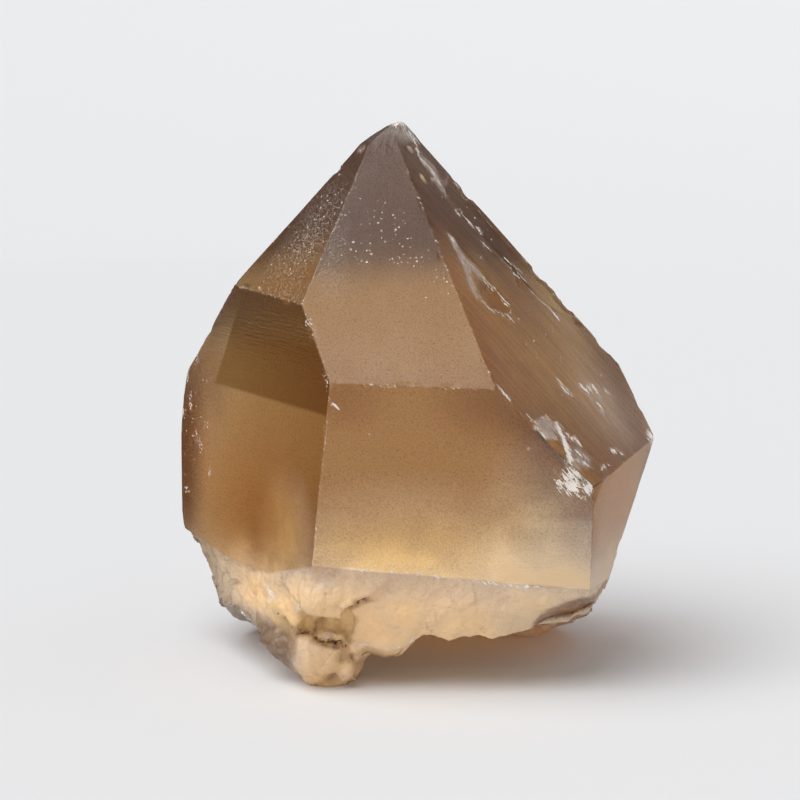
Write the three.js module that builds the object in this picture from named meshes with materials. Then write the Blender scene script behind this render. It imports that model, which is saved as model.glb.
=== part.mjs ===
// A single large quartz point, smoky golden citrine, broken off its rock at the base.
// It is one solid: a six-sided prism under a six-sided point, standing on its broken foot.
// Lengths are millimetres and angles degrees. +Z is up, the broadest face looks along -Y,
// and the origin is under the middle of the stone, on the surface that it rests on.

import * as THREE from "three";

// The stone's size
const HEIGHT = 85;
const HEART_HEIGHT = 38; // the point inside the stone that the face distances start from
const TIP_LEVEL = 81.6; // where the faces of the point end at the worn tip
const TIP_CENTRE = [-2.0, -2.0];

// Each natural face: where it looks (turned from -Y towards +X), how far it leans up,
// and how far it stands from the heart.
const FACES = {
  pointLeft: [-57, 41.5, 33.7],
  pointFront: [2, 37.5, 30.5],
  pointRight: [58, 37.2, 26.9],
  pointBackRight: [121.5, 37.5, 27.2],
  pointBack: [183, 39.5, 28.1],
  pointBackLeft: [-113, 40, 31.2],
  sideFront: [0, -7, 29.5],
  sideRight: [66.6, -4, 36.5],
  sideBackRight: [121.5, 5, 28.7],
  sideBack: [182, -1, 27],
  sideBackLeft: [-119, 2, 36.2],
  sideLeft: [-60, 1.5, 26.4],
};

// The waist, where the growth faces end and the broken foot begins: its height on each upright
// edge and under the left side, two points on the right, and where the corners between the
// edges lie, as shares of the way from one edge to the next.
const WAIST = { frontLeft: 20, frontRight: 16.3, backRight: 12, backLeft: 12, left: 18, sideLeft: 16 };
const WAIST_RIGHT_EDGE = [29.4, -12.5, 14.8];
const WAIST_RIGHT_SIDE = [29.6, 2, 13];
const WAIST_SHARES = { left: [1 / 3, 2 / 3], front: 3 / 5, back: [1 / 10, 9 / 10] };

// The rim of the broken foot, starting at the front left. Each run lies under one stretch
// between two corners of the girdle, and ends where the next run begins.
const FOOT_RUNS = [
  [[-24.6, -13, 7], [-21.6, -17, 4.4], [-18.1, -19.4, 2]],
  [
    [-15.2, -20.2, 0.4], [-12.9, -20.6, -0.4], [-10.3, -20.4, -0.2], [-9.4, -20.4, 2.6], [-8.6, -22, 4.1],
    [-6.9, -22.4, 4.8], [-4.6, -22.5, 4.1], [-2.3, -22.5, 4.2], [-0.6, -23.2, 6.9], [1.3, -25, 9],
    [2.8, -25.2, 9.3],
  ],
  [
    [5.4, -25.4, 8.2], [7.1, -25.4, 8.8], [9.8, -25.4, 9.1], [11.9, -25.4, 8.5], [16.1, -25.2, 9.4],
    [20, -25, 10.6],
  ],
  [[24.5, -24, 10.8], [27.9, -20.5, 11.4]],
  [[28.6, -12, 10.5]],
  [[28.5, 2, 6], [26.5, 12, 2]],
  [[22, 20.5, -0.5]],
  [[16, 23.5, 1.2], [4, 24, 3.2], [-9, 23.4, 2.4]],
  [[-18, 21.5, -0.5]],
  [[-24, 18.5, -0.3], [-29, 12, 2.5]],
  [[-31.5, 5, 6.5]],
  [[-29.5, -3, 8.5]],
];

// The underside: a shallow hollow that opens to the front, between three high spots that
// carry the stone. Each spot comes down by its drop at its middle and fades out at its reach.
const HOLLOW_HEIGHT = 3.6;
const HOLLOW_RISE = 0.21; // how much higher the roof is for each millimetre forward of its middle
const HOLLOW_CENTRE = [0, 1];
const HOLLOW_START = 0.6; // the share of the way in from the rim where the roof is reached
const RESTS = [
  { at: [-12.5, -17.5], reach: 8, drop: 10.5 },
  { at: [19.5, 14], reach: 10, drop: 6.5 },
  { at: [-17, 16], reach: 10, drop: 6.5 },
];

// How far the foot swells between the waist and its rim, where it looks to the front or back
const FOOT_SWELL = 1.3;

// How far the upright edge on the left bellies out, and over how many columns on each side
const LEFT_BELLY = { out: 1.2, columns: 11 };

// The lump at the front left foot, the tongue of quartz above it and the hollow between them
const BASE_FORMS = [
  { x: -14.5, z: 4.6, wide: 7.2, high: 4.6, out: 2.6 },
  { x: -12.4, z: 14.6, wide: 6.6, high: 4.2, out: 2.0 },
  { x: -13.4, z: 9.6, wide: 5.2, high: 1.9, out: -2.2 },
  { x: -20.5, z: 11.6, wide: 4.6, high: 3.2, out: 1.3 },
  { x: -4.4, z: 6.6, wide: 4.4, high: 2.4, out: 1.2 },
];

// The worn right face of the point. Its long scars are given by how far down the far edge and
// how far in from it they start and end.
const SCARS = [
  { start: [9, 10.5], end: [14, 5.8], wide: 2.2, deep: 0.5 },
  { start: [14, 5.8], end: [46, 3.4], wide: 2.6, deep: 0.8 },
  { start: [13, 12.8], end: [29, 16.4], wide: 2.8, deep: 0.7 },
  { start: [31, 26.5], end: [47, 17.5], wide: 3.4, deep: 0.6 },
];

// The crushed corner on the right, a chip off the edge over the front side: where its plane
// looks, how far it leans up, and how far it stands from the origin
const CHIP = { looks: 40, leans: 20, off: 46.9 };

// How many columns of facets each run takes, and how many rows each band takes
const COLUMNS = [9, 14, 11, 8, 5, 9, 3, 11, 3, 6, 8, 7];
const ROWS = { cap: 2, point: 11, side: 9, foot: 6, under: 7 };

// The girdle corners between which the right face of the point hangs, and the one over the left edge
const RIGHT_FACE = { first: 2, last: 5 };
const LEFT_EDGE = 10;

const radians = THREE.MathUtils.degToRad;
const lerp = THREE.MathUtils.lerp;

// The plane of a face, as its outward normal and its distance from the origin
function plane([looks, leans, distance]) {
  const a = radians(looks);
  const b = radians(leans);
  const normal = new THREE.Vector3(Math.sin(a) * Math.cos(b), -Math.cos(a) * Math.cos(b), Math.sin(b));
  return { normal, distance: distance + normal.z * HEART_HEIGHT };
}

const planes = Object.fromEntries(Object.entries(FACES).map(([name, face]) => [name, plane(face)]));

// The point that lies on three planes
function meet(p, q, r) {
  const qr = q.normal.clone().cross(r.normal);
  const rp = r.normal.clone().cross(p.normal);
  const pq = p.normal.clone().cross(q.normal);
  const sum = qr.clone().multiplyScalar(p.distance);
  sum.addScaledVector(rp, q.distance);
  sum.addScaledVector(pq, r.distance);
  return sum.divideScalar(p.normal.dot(qr));
}

// The corner where three faces meet, and the point of an edge at a height
const corner = (a, b, c) => meet(planes[a], planes[b], planes[c]);
const level = (z) => ({ normal: new THREE.Vector3(0, 0, 1), distance: z });
const edgeAt = (a, b, z) => meet(planes[a], planes[b], level(z));
const between = (p, q, t) => p.clone().lerp(q, t);

// The girdle: twelve corners where the point meets the sides
const girdle = [
  corner("pointLeft", "pointFront", "sideLeft"),
  corner("pointFront", "sideLeft", "sideFront"),
  corner("pointFront", "sideFront", "pointRight"),
  corner("pointRight", "sideFront", "sideRight"),
  corner("pointRight", "sideRight", "sideBackRight"),
  corner("pointRight", "sideBackRight", "pointBackRight"),
  corner("pointBackRight", "sideBackRight", "sideBack"),
  corner("pointBackRight", "sideBack", "pointBack"),
  corner("pointBack", "sideBack", "pointBackLeft"),
  corner("pointBackLeft", "sideBack", "sideBackLeft"),
  corner("pointBackLeft", "sideBackLeft", "sideLeft"),
  corner("pointBackLeft", "sideLeft", "pointLeft"),
];

// The right face's own frame: from its top at the far edge, down that edge, and in from it
function faceFrame() {
  const start = edgeAt("pointRight", "pointBackRight", TIP_LEVEL);
  const down = girdle[RIGHT_FACE.last].clone().sub(start).normalize();
  const inward = down.clone().cross(planes.pointRight.normal);
  return { start, down, inward };
}

const rightFace = faceFrame();

// The worn tip: six corners, one on each edge of the point
function tipCorners() {
  const order = ["pointLeft", "pointFront", "pointRight", "pointBackRight", "pointBack", "pointBackLeft"];
  const cuts = order.map((name, i) => edgeAt(name, order[(i + 1) % order.length], TIP_LEVEL));
  const [leftFront, frontRight, rightBack, backRightBack, backBackLeft, backLeftLeft] = cuts;
  return [
    leftFront,
    between(leftFront, frontRight, 1 / 2),
    frontRight,
    between(frontRight, rightBack, 1 / 3),
    between(frontRight, rightBack, 2 / 3),
    rightBack,
    between(rightBack, backRightBack, 1 / 2),
    backRightBack,
    backBackLeft,
    between(backBackLeft, backLeftLeft, 1 / 3),
    between(backBackLeft, backLeftLeft, 2 / 3),
    backLeftLeft,
  ];
}

// The twelve corners of the waist
function waistCorners() {
  const frontLeft = edgeAt("sideLeft", "sideFront", WAIST.frontLeft);
  const frontRight = edgeAt("sideFront", "sideRight", WAIST.frontRight);
  const backRight = edgeAt("sideBackRight", "sideBack", WAIST.backRight);
  const backLeft = edgeAt("sideBack", "sideBackLeft", WAIST.backLeft);
  const left = edgeAt("sideBackLeft", "sideLeft", WAIST.left);
  return [
    between(left, frontLeft, WAIST_SHARES.left[1]).setZ(WAIST.sideLeft),
    frontLeft,
    between(frontLeft, frontRight, WAIST_SHARES.front),
    frontRight,
    new THREE.Vector3(...WAIST_RIGHT_EDGE),
    new THREE.Vector3(...WAIST_RIGHT_SIDE),
    backRight,
    between(backRight, backLeft, WAIST_SHARES.back[0]),
    between(backRight, backLeft, WAIST_SHARES.back[1]),
    backLeft,
    left,
    between(left, frontLeft, WAIST_SHARES.left[0]).setZ(WAIST.sideLeft),
  ];
}

// Points spread evenly by length over a run of straight stretches, without its last point
function spread(points, count) {
  const steps = points.slice(1).map((p, i) => p.distanceTo(points[i]));
  const whole = steps.reduce((a, b) => a + b, 0);
  return Array.from({ length: count }, (_, k) => {
    let left = (whole * k) / count;
    let i = 0;
    while (left > steps[i]) {
      left -= steps[i];
      i += 1;
    }
    return between(points[i], points[i + 1], left / steps[i]);
  });
}

// How many columns come before a corner
const columnsBefore = (i) => COLUMNS.slice(0, i).reduce((a, b) => a + b, 0);

// A ring of columns through twelve corners
function ring(corners) {
  return corners.flatMap((p, i) => spread([p, corners[(i + 1) % corners.length]], COLUMNS[i]));
}

// The rim's columns, each run spread up to the first point of the next
const rimRing = FOOT_RUNS.flatMap((run, i) => {
  const next = FOOT_RUNS[(i + 1) % FOOT_RUNS.length][0];
  return spread([...run, next].map((p) => new THREE.Vector3(...p)), COLUMNS[i]);
});

// A smooth hill that is 1 in the middle and 0 from a distance of 1 outward
const hill = (distance) => (Math.abs(distance) < 1 ? (1 - distance * distance) ** 2 : 0);

// How deep the right face is scarred at a point of it
function scarDepth(p) {
  const { start, down, inward } = rightFace;
  const offset = p.clone().sub(start);
  const here = new THREE.Vector2(offset.dot(down), offset.dot(inward));
  const depths = SCARS.map((scar) => {
    const from = new THREE.Vector2(...scar.start);
    const run = new THREE.Vector2(...scar.end).sub(from);
    const t = THREE.MathUtils.clamp(here.clone().sub(from).dot(run) / run.lengthSq(), 0, 1);
    return scar.deep * hill(here.distanceTo(from.addScaledVector(run, t)) / scar.wide);
  });
  return Math.max(...depths);
}

// The lumps and hollows on the front of the foot, as a push outward
function basePush(p) {
  const inFront = p.y < 0 ? 1 : 0;
  const pushes = BASE_FORMS.map(({ x, z, wide, high, out }) => {
    const distance = Math.hypot((p.x - x) / wide, (p.z - z) / high);
    return out * hill(distance);
  });
  return inFront * pushes.reduce((a, b) => a + b, 0);
}

// The height of the underside: the hollow's roof, let down at the three rests
function underHeight(x, y) {
  const roof = HOLLOW_HEIGHT + HOLLOW_RISE * Math.max(0, HOLLOW_CENTRE[1] - y);
  const drops = RESTS.map(({ at, reach, drop }) => drop * hill(Math.hypot(x - at[0], y - at[1]) / reach));
  return roof - Math.max(...drops);
}

// The chip moves what stands proud of its plane back onto it
function chipped(p) {
  const chip = plane([CHIP.looks, CHIP.leans, 0]).normal;
  const proud = chip.dot(p) - CHIP.off;
  return proud > 0 ? p.addScaledVector(chip, -proud) : p;
}

// The rows of the worn tip, a low dome over the six tip corners
function capRows(tip, top) {
  const steps = Array.from({ length: ROWS.cap - 1 }, (_, i) => (i + 1) / ROWS.cap);
  return steps.map((t) => tip.map((p) => between(top, p, t).setZ(lerp(HEIGHT, TIP_LEVEL, t * t))));
}

// The rows of the point, straight from the tip corners to the girdle, with the scars on the right
function pointRows(tip, belt) {
  const start = columnsBefore(RIGHT_FACE.first);
  const end = columnsBefore(RIGHT_FACE.last);
  const steps = Array.from({ length: ROWS.point }, (_, i) => i / ROWS.point);
  return steps.map((down) => tip.map((p, k) => {
    const point = between(p, belt[k], down);
    const onRightFace = k > start && k < end && down > 0;
    if (onRightFace) {
      point.addScaledVector(planes.pointRight.normal, -scarDepth(point));
    }
    return chipped(point);
  }));
}

// The rows of the sides, from the girdle to the waist, with the bellied left edge
function sideRows(belt, waist) {
  const leftEdge = columnsBefore(LEFT_EDGE);
  const steps = Array.from({ length: ROWS.side }, (_, i) => i / ROWS.side);
  return steps.map((down) => belt.map((p, k) => {
    const point = between(p, waist[k], down);
    const belly = LEFT_BELLY.out * Math.sqrt(Math.sin(Math.PI * down));
    point.x -= belly * hill((k - leftEdge) / LEFT_BELLY.columns);
    return chipped(point);
  }));
}

// The rows of the broken foot, from the waist to the rim
function footRows(waist, rim) {
  const steps = Array.from({ length: ROWS.foot + 1 }, (_, i) => i / ROWS.foot);
  return steps.map((down) => waist.map((p, k) => {
    const point = between(p, rim[k], down);
    const outward = new THREE.Vector3(point.x, point.y, 0).normalize();
    const arch = Math.sin(Math.PI * down);
    const push = FOOT_SWELL * outward.y ** 2 * arch + basePush(point) * Math.sqrt(arch);
    return point.addScaledVector(outward, push);
  }));
}

// The rows of the underside, from the rim to the middle of the hollow
function underRows(rim, middle) {
  const steps = Array.from({ length: ROWS.under - 1 }, (_, i) => (i + 1) / ROWS.under);
  return steps.map((inward) => {
    const settle = Math.sin((Math.PI / 2) * Math.min(1, inward / HOLLOW_START));
    return rim.map((p) => {
      const point = between(p, middle, inward);
      return point.setZ(lerp(p.z, underHeight(point.x, point.y), settle));
    });
  });
}

// The closed skin: rings of facets between the rows, a fan at the tip and one under the foot
function crystalGeometry() {
  const tip = ring(tipCorners());
  const belt = ring(girdle);
  const waist = ring(waistCorners());
  const top = new THREE.Vector3(...TIP_CENTRE, HEIGHT);
  const middle = new THREE.Vector3(...HOLLOW_CENTRE, HOLLOW_HEIGHT);
  const rows = [
    ...capRows(tip, top),
    ...pointRows(tip, belt),
    ...sideRows(belt, waist),
    ...footRows(waist, rimRing),
    ...underRows(rimRing, middle),
  ];
  const around = rows[0].length;
  const points = [top, ...rows.flat(), middle].map((p) => p.setZ(Math.max(0, p.z)));
  const last = points.length - 1;
  const at = (row, column) => 1 + row * around + (column % around);
  const faces = [];
  for (let k = 0; k < around; k += 1) {
    faces.push(0, at(0, k), at(0, k + 1));
    faces.push(last, at(rows.length - 1, k + 1), at(rows.length - 1, k));
    for (let i = 0; i < rows.length - 1; i += 1) {
      faces.push(at(i, k), at(i + 1, k), at(i + 1, k + 1));
      faces.push(at(i, k), at(i + 1, k + 1), at(i, k + 1));
    }
  }
  const geometry = new THREE.BufferGeometry();
  const coordinates = points.flatMap((p) => [p.x, p.y, p.z]);
  geometry.setAttribute("position", new THREE.Float32BufferAttribute(coordinates, 3));
  geometry.setIndex(faces);
  geometry.computeBoundingBox();
  const centre = geometry.boundingBox.getCenter(new THREE.Vector3());
  geometry.translate(-centre.x, -centre.y, 0);
  geometry.computeVertexNormals();
  return geometry;
}

const citrine = new THREE.MeshStandardMaterial({
  color: 0xa97f52,
  roughness: 0.45,
  metalness: 0,
  flatShading: true,
});
const crystal = new THREE.Mesh(crystalGeometry(), citrine);
crystal.name = "citrine_crystal";

const group = new THREE.Group();
group.add(crystal);

export default group;
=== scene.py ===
"""A large smoky golden citrine point, standing on its broken foot in a pale studio.

Lengths in the crystal's section are millimetres, in the stone's own frame: +Z is up and the
broad front face looks along -Y. Everything handed to Blender is in metres.
"""

import bpy
import numpy as np
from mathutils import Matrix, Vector


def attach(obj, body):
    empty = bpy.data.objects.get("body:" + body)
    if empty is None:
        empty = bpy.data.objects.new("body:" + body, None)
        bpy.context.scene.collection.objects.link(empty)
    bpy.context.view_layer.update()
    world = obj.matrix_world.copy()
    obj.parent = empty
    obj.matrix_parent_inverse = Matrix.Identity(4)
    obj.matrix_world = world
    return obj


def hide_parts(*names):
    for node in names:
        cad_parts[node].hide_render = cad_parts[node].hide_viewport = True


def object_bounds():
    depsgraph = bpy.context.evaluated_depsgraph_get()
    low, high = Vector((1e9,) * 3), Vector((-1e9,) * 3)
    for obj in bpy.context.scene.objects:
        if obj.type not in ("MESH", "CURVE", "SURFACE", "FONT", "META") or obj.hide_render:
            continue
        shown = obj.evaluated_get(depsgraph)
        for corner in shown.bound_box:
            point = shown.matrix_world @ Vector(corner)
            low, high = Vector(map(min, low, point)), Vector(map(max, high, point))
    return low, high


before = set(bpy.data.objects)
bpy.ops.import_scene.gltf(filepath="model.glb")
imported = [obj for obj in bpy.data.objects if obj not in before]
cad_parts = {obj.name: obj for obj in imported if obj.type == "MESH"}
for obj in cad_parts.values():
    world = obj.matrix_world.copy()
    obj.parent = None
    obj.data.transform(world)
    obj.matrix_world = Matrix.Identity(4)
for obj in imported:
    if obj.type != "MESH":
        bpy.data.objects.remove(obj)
cad_low, cad_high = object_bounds()


# The citrine crystal
# One quartz point, grown as a six-sided prism under a six-sided point and snapped off its
# rock at the foot. Its natural faces are flat and finely frosted, the break is shell-shaped,
# and the inside is clear, smoky at the top, honey gold in the middle and milky at the foot.

MM = 0.001
HEIGHT = 85.0
HEART = 38.0
TIP_LEVEL = 81.6
TIP_CENTRE = (-2.0, -2.0)
CAP_CURVE = 1.3

# Each face: where it looks, turned from -Y towards +X, how far it leans up, both in degrees,
# and how far it stands from the heart
FACES = {
    "point_left": (-58.9, 38.0, 33.5),
    "point_front": (2.0, 37.5, 30.5),
    "point_right": (58.0, 37.2, 26.9),
    "point_back_right": (121.5, 37.4, 27.5),
    "point_back": (183.0, 39.5, 28.1),
    "point_back_left": (-112.2, 39.6, 32.6),
    "side_front": (0.0, -7.0, 29.5),
    "side_right": (65.2, -4.0, 36.9),
    "side_back_right": (121.5, 5.0, 28.7),
    "side_back": (182.0, -1.0, 27.0),
    "side_back_left": (-119.0, 2.0, 36.2),
    "side_left": (-60.0, 1.5, 26.4),
}
POINT_FACES = [name for name in FACES if name.startswith("point")]

# The faces above and below the girdle, where the point meets the sides, from the front left
# round by the right, with how many of its twelve stretches each one takes
FACE_ABOVE = np.repeat(
    ["point_front", "point_right", "point_back_right", "point_back", "point_back_left", "point_left"],
    (2, 3, 2, 1, 3, 1),
)
FACE_BELOW = np.repeat(
    ["side_left", "side_front", "side_right", "side_back_right", "side_back", "side_back_left",
     "side_left"],
    (1, 2, 1, 2, 3, 1, 2),
)
# The corners between stretches that are spoken of below
FRONT_RIGHT, FAR_RIGHT, FAR_LEFT = 2, 5, 10

# The waist, where the faces end and the break begins: its height on each upright edge and
# under the left side, two points on the right, and shares of the way between the edges
WAIST_EDGES = (
    ("side_left", "side_front", 20), ("side_front", "side_right", 16.3),
    ("side_back_right", "side_back", 12), ("side_back", "side_back_left", 12),
    ("side_back_left", "side_left", 18),
)
WAIST_SIDE_LEFT = 16.0
WAIST_RIGHT_EDGE = (30.4, -12.5, 14.8)
WAIST_RIGHT_SIDE = (29.6, 2.0, 13.0)

# The rim of the broken foot, one run under each stretch of the girdle
FOOT_RUNS = (
    ((-24.6, -13, 7), (-21.6, -17, 4.4), (-18.1, -19.4, 2)),
    (
        (-15.2, -20.2, 0.4), (-12.9, -20.6, -0.4), (-10.3, -20.4, -0.2), (-9.4, -20.4, 2.6),
        (-8.6, -22, 4.1), (-6.9, -22.4, 4.8), (-4.6, -22.5, 4.1), (-2.3, -22.5, 4.2), (-0.6, -23.2, 6.9),
        (1.3, -25, 9), (2.8, -25.2, 9.3),
    ),
    (
        (5.4, -25.4, 8.2), (7.1, -25.4, 8.8), (9.8, -25.4, 9.1), (11.9, -25.4, 8.5), (16.1, -25.2, 9.4),
        (20, -25, 10.6),
    ),
    ((24.5, -24, 10.8), (27.9, -20.5, 11.4)),
    ((28.6, -12, 10.5),),
    ((28.5, 2, 6), (26.5, 12, 2)),
    ((22, 20.5, -0.5),),
    ((16, 23.5, 1.2), (4, 24, 3.2), (-9, 23.4, 2.4)),
    ((-18, 21.5, -0.5),),
    ((-24, 18.5, -0.3), (-29, 12, 2.5)),
    ((-31.5, 5, 6.5),),
    ((-29.5, -3, 8.5),),
)

# How many columns of the skin lie in each run, how many rows in each band, and how closely
# they crowd to the ends of a run or a band
COLUMNS = (36, 64, 38, 40, 18, 28, 8, 42, 8, 24, 30, 30)
CAP_ROWS, POINT_ROWS, SIDE_ROWS, FOOT_ROWS, UNDER_ROWS = 8, 94, 66, 58, 26
COLUMN_CROWDING, POINT_CROWDING, SIDE_CROWDING = 0.55, 0.4, 0.5


def direction(looks, leans):
    """The way that a plane looks, from its two angles a and b: (sin a cos b, -cos a cos b, sin b)."""
    a, b = np.radians((looks, leans))
    return np.array((np.sin(a) * np.cos(b), -np.cos(a) * np.cos(b), np.sin(b)))


def face_plane(name):
    """A face as the way it looks, and its distance from the origin: from the heart, and the heart's own."""
    looks, leans, distance = FACES[name]
    normal = direction(looks, leans)
    return normal, distance + normal[2] * HEART


def corner(*names):
    """The point on three faces: the solution of normal . point = distance for each of them."""
    normals, distances = zip(*(face_plane(name) for name in names))
    return np.linalg.solve(np.array(normals), np.array(distances))


def girdle_corner(i):
    """Where a stretch of the girdle starts: the point on all the faces of it and of the one before."""
    return corner(*sorted({FACE_ABOVE[i - 1], FACE_ABOVE[i], FACE_BELOW[i - 1], FACE_BELOW[i]}))


def edge_at(first, second, z):
    """The point of the edge between two faces at a height, solved as a corner with a level plane."""
    normals, distances = zip(face_plane(first), face_plane(second), (np.array((0.0, 0.0, 1.0)), z))
    return np.linalg.solve(np.array(normals), np.array(distances))


def blend(start, end, share):
    """The point that share of the way from start to end."""
    return start + (end - start) * share


def crowded(count, ends):
    """count shares from 0 up to 1: even steps s, drawn to both ends as s - ends sin(2 pi s) / (2 pi)."""
    s = np.arange(count) / count
    return s - ends * np.sin(2 * np.pi * s) / (2 * np.pi)


def along(points, count, ends=0.0):
    """count points by length along straight stretches, without the last, as one linear interpolation."""
    points = np.array(points, float)
    reached = np.append(0, np.cumsum(np.linalg.norm(np.diff(points, axis=0), axis=1)))
    places = crowded(count, ends) * reached[-1]
    return np.stack([np.interp(places, reached, points[:, i]) for i in range(3)], axis=1)


def ring(corners):
    """A closed ring of columns through twelve corners, straight between them and closer near them."""
    runs = [(corners[i], corners[(i + 1) % 12]) for i in range(12)]
    return np.concatenate([along(run, count, COLUMN_CROWDING) for run, count in zip(runs, COLUMNS)])


def tip_corners():
    """The worn end of the point: its six edges cut at one height, with the corners between them."""
    cuts = [edge_at(name, POINT_FACES[(i + 1) % 6], TIP_LEVEL) for i, name in enumerate(POINT_FACES)]
    left_front, front_right, right_back, back_right, back_left, far_left = cuts
    return [
        left_front, blend(left_front, front_right, 1 / 2), front_right,
        blend(front_right, right_back, 1 / 3), blend(front_right, right_back, 2 / 3), right_back,
        blend(right_back, back_right, 1 / 2), back_right, back_left,
        blend(back_left, far_left, 1 / 3), blend(back_left, far_left, 2 / 3), far_left,
    ]


def waist_corners():
    """The ends of the upright edges, with the corners between them at shares of the way."""
    front_left, front_right, back_right, back_left, left = (edge_at(*edge) for edge in WAIST_EDGES)
    side_near, side_far = blend(left, front_left, 2 / 3), blend(left, front_left, 1 / 3)
    side_near[2] = side_far[2] = WAIST_SIDE_LEFT
    return [
        side_near, front_left, blend(front_left, front_right, 3 / 5), front_right,
        np.array(WAIST_RIGHT_EDGE), np.array(WAIST_RIGHT_SIDE), back_right,
        blend(back_right, back_left, 1 / 10), blend(back_right, back_left, 9 / 10), back_left,
        left, side_far,
    ]


def rim_ring():
    """The foot's rim, each run by length up to the first point of the next."""
    runs = [run + (FOOT_RUNS[(i + 1) % 12][0],) for i, run in enumerate(FOOT_RUNS)]
    return np.concatenate([along(run, count) for run, count in zip(runs, COLUMNS)])


def band(upper, lower, shares):
    """Rows between two rings: upper + (lower - upper) t."""
    return upper + (lower - upper) * shares[:, None, None]


def hill(distance):
    """A smooth hill: (1 - d^2)^2 up to a distance of 1, and nothing beyond."""
    return np.clip(1 - distance**2, 0, None) ** 2


def spot(u, v, at, reach):
    """A round spot: a hill of the distance from its middle, down to nothing at its reach."""
    return hill(np.hypot(u - at[0], v - at[1]) / reach)


def segment_distance(points, start, end):
    """How far each point is from a straight stretch: its distance from the nearest point of it."""
    run = end - start
    share = np.clip(((points - start) @ run) / (run @ run), 0, 1)
    return np.linalg.norm(points - start - share[..., None] * run, axis=-1)


tip = tip_corners()
belt = [girdle_corner(i) for i in range(12)]
waist = waist_corners()
tip_ring, belt_ring, waist_ring, foot_ring = ring(tip), ring(belt), ring(waist), rim_ring()
top = np.array((*TIP_CENTRE, HEIGHT))

# The left upright edge is a little bellied
LEFT_BELLY, LEFT_BELLY_REACH = 1.2, 9.5

# The lumps and hollows on the front of the foot: x, z, half width, half height, push outward
FOOT_SWELL = 1.3
BASE_FORMS = (
    (-14.5, 4.6, 7.2, 4.6, 2.6),
    (-12.4, 14.6, 6.6, 4.2, 2),
    (-13.4, 9.6, 5.2, 1.9, -2.2),
    (-20.5, 11.6, 4.6, 3.2, 1.3),
    (-4.4, 6.6, 4.4, 2.4, 1.2),
)

# The underside: a shallow hollow that opens to the front, between three worn high spots, each
# with its place, reach and drop
HOLLOW_HEIGHT = 3.6
HOLLOW_RISE = 0.21
HOLLOW_CENTRE = (0.0, 1.0)
HOLLOW_START = 0.6
RESTS = (((-12.5, -17.5), 8, 10.5), ((19.5, 14), 10, 6.5), ((-17, 16), 10, 6.5))
middle = np.array((*HOLLOW_CENTRE, HOLLOW_HEIGHT))


def cap_rows():
    """The worn tip, a low dome: straight out from the top, and down as a power of the way out."""
    t = np.arange(1, CAP_ROWS) / CAP_ROWS
    rows = band(top, tip_ring, t)
    rows[..., 2] = (HEIGHT + (TIP_LEVEL - HEIGHT) * t**CAP_CURVE)[:, None]
    return rows


def side_rows():
    """The sides, straight from girdle to waist, with the left edge bellied out by sqrt(sin(pi t))."""
    t = crowded(SIDE_ROWS, SIDE_CROWDING)
    rows = band(belt_ring, waist_ring, t)
    away = segment_distance(rows, belt[FAR_LEFT], waist[FAR_LEFT])
    rows[..., 0] -= LEFT_BELLY * np.sqrt(np.sin(np.pi * t))[:, None] * hill(away / LEFT_BELLY_REACH)
    return rows


def foot_rows():
    """The break, from waist to rim: straight, swollen by sin(pi t) and pushed out by lumps and hollows."""
    t = np.arange(FOOT_ROWS + 1) / FOOT_ROWS
    rows = band(waist_ring, foot_ring, t)
    arch = np.sin(np.pi * t)[:, None]
    outward = rows[..., :2] / np.linalg.norm(rows[..., :2], axis=-1, keepdims=True)
    x, y, z = np.moveaxis(rows, -1, 0)
    push = sum(
        out * hill(np.hypot((x - at_x) / wide, (z - at_z) / high))
        for at_x, at_z, wide, high, out in BASE_FORMS
    )
    push = FOOT_SWELL * outward[..., 1] ** 2 * arch + np.where(y < 0, push, 0) * np.sqrt(arch.clip(0))
    rows[..., :2] += outward * push[..., None]
    return rows


def under_rows():
    """The underside, from rim to middle: a roof that rises in front, let down by a hill at each rest."""
    t = np.arange(1, UNDER_ROWS) / UNDER_ROWS
    rows = band(foot_ring, middle, t)
    x, y, _ = np.moveaxis(rows, -1, 0)
    roof = HOLLOW_HEIGHT + HOLLOW_RISE * np.clip(HOLLOW_CENTRE[1] - y, 0, None)
    drop = np.max([deep * spot(x, y, at, reach) for at, reach, deep in RESTS], axis=0)
    settle = np.sin(np.pi / 2 * np.clip(t / HOLLOW_START, 0, 1))[:, None]
    rows[..., 2] = foot_ring[:, 2] + (roof - drop - foot_ring[:, 2]) * settle
    return rows


point_rows = band(tip_ring, belt_ring, crowded(POINT_ROWS, POINT_CROWDING))
rows = np.concatenate([cap_rows(), point_rows, side_rows(), foot_rows(), under_rows()])
centre = (rows.reshape(-1, 3)[:, :2].max(axis=0) + rows.reshape(-1, 3)[:, :2].min(axis=0)) / 2
x, y, z = np.moveaxis(rows, -1, 0)

# Where each row and column of the skin lies: the five bands from the tip down, and the runs
CAP, POINT, SIDE, FOOT, UNDER = range(5)
band_of = np.repeat(np.arange(5), (CAP_ROWS - 1, POINT_ROWS, SIDE_ROWS, FOOT_ROWS + 1, UNDER_ROWS - 1))
run_of = np.repeat(np.arange(12), COLUMNS)
breaks = np.isin(band_of, (FOOT, UNDER))[:, None] & np.ones(len(run_of), bool)


def lies_on(name):
    """Whether each point of the skin lies on a face: its band of rows and its runs of columns."""
    above = np.outer(band_of == POINT, FACE_ABOVE[run_of] == name)
    return above | np.outer(band_of == SIDE, FACE_BELOW[run_of] == name)


def across(points, name):
    """How far each point is to the right along a face's own level line: x cos a + y sin a."""
    a = np.radians(FACES[name][0])
    return points[..., 0] * np.cos(a) + points[..., 1] * np.sin(a)


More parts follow.
